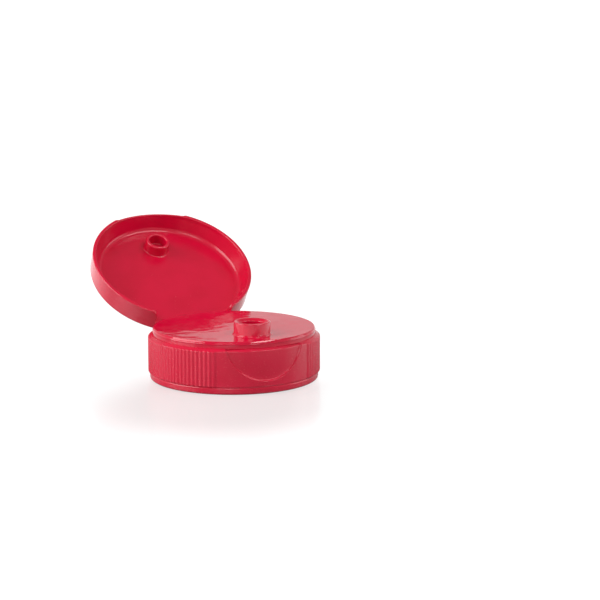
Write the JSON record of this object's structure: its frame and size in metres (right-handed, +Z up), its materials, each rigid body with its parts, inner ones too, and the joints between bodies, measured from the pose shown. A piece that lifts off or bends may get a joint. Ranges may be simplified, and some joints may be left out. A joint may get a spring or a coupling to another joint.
{
  "type": "flip top cap",
  "caption": "Round screw-on dispensing cap with a fluted skirt, a short round spout, a hinged flip-up lid with a plug ring, a thumb scoop and a disc liner.",
  "frame": {"origin": "centre of the liner's sealing face, on the cap's axis, where the rim of the bottle neck seals", "axes": "+Z up along the cap's axis from the mouth to the deck, -Y towards the thumb scoop and the spout, +Y towards the hinge, X across the cap"},
  "size_m": [0.042, 0.0822, 0.0322],
  "materials": {
    "red_plastic": "smooth moulded polypropylene, opaque red",
    "liner_foam": "matt white polyethylene foam"
  },
  "bodies": {
    "cap_body": {"skirt_body": "red_plastic", "liner_disc": "liner_foam"},
    "lid": {"flip_lid": "red_plastic"}
  },
  "joints": [
    {"name": "lid_hinge", "type": "hinge", "parent": "cap_body", "child": "lid", "pos_m": [0, 0.0221, 0.00045], "axis": [1, 0, 0], "range_deg": [-30, 148]}
  ]
}
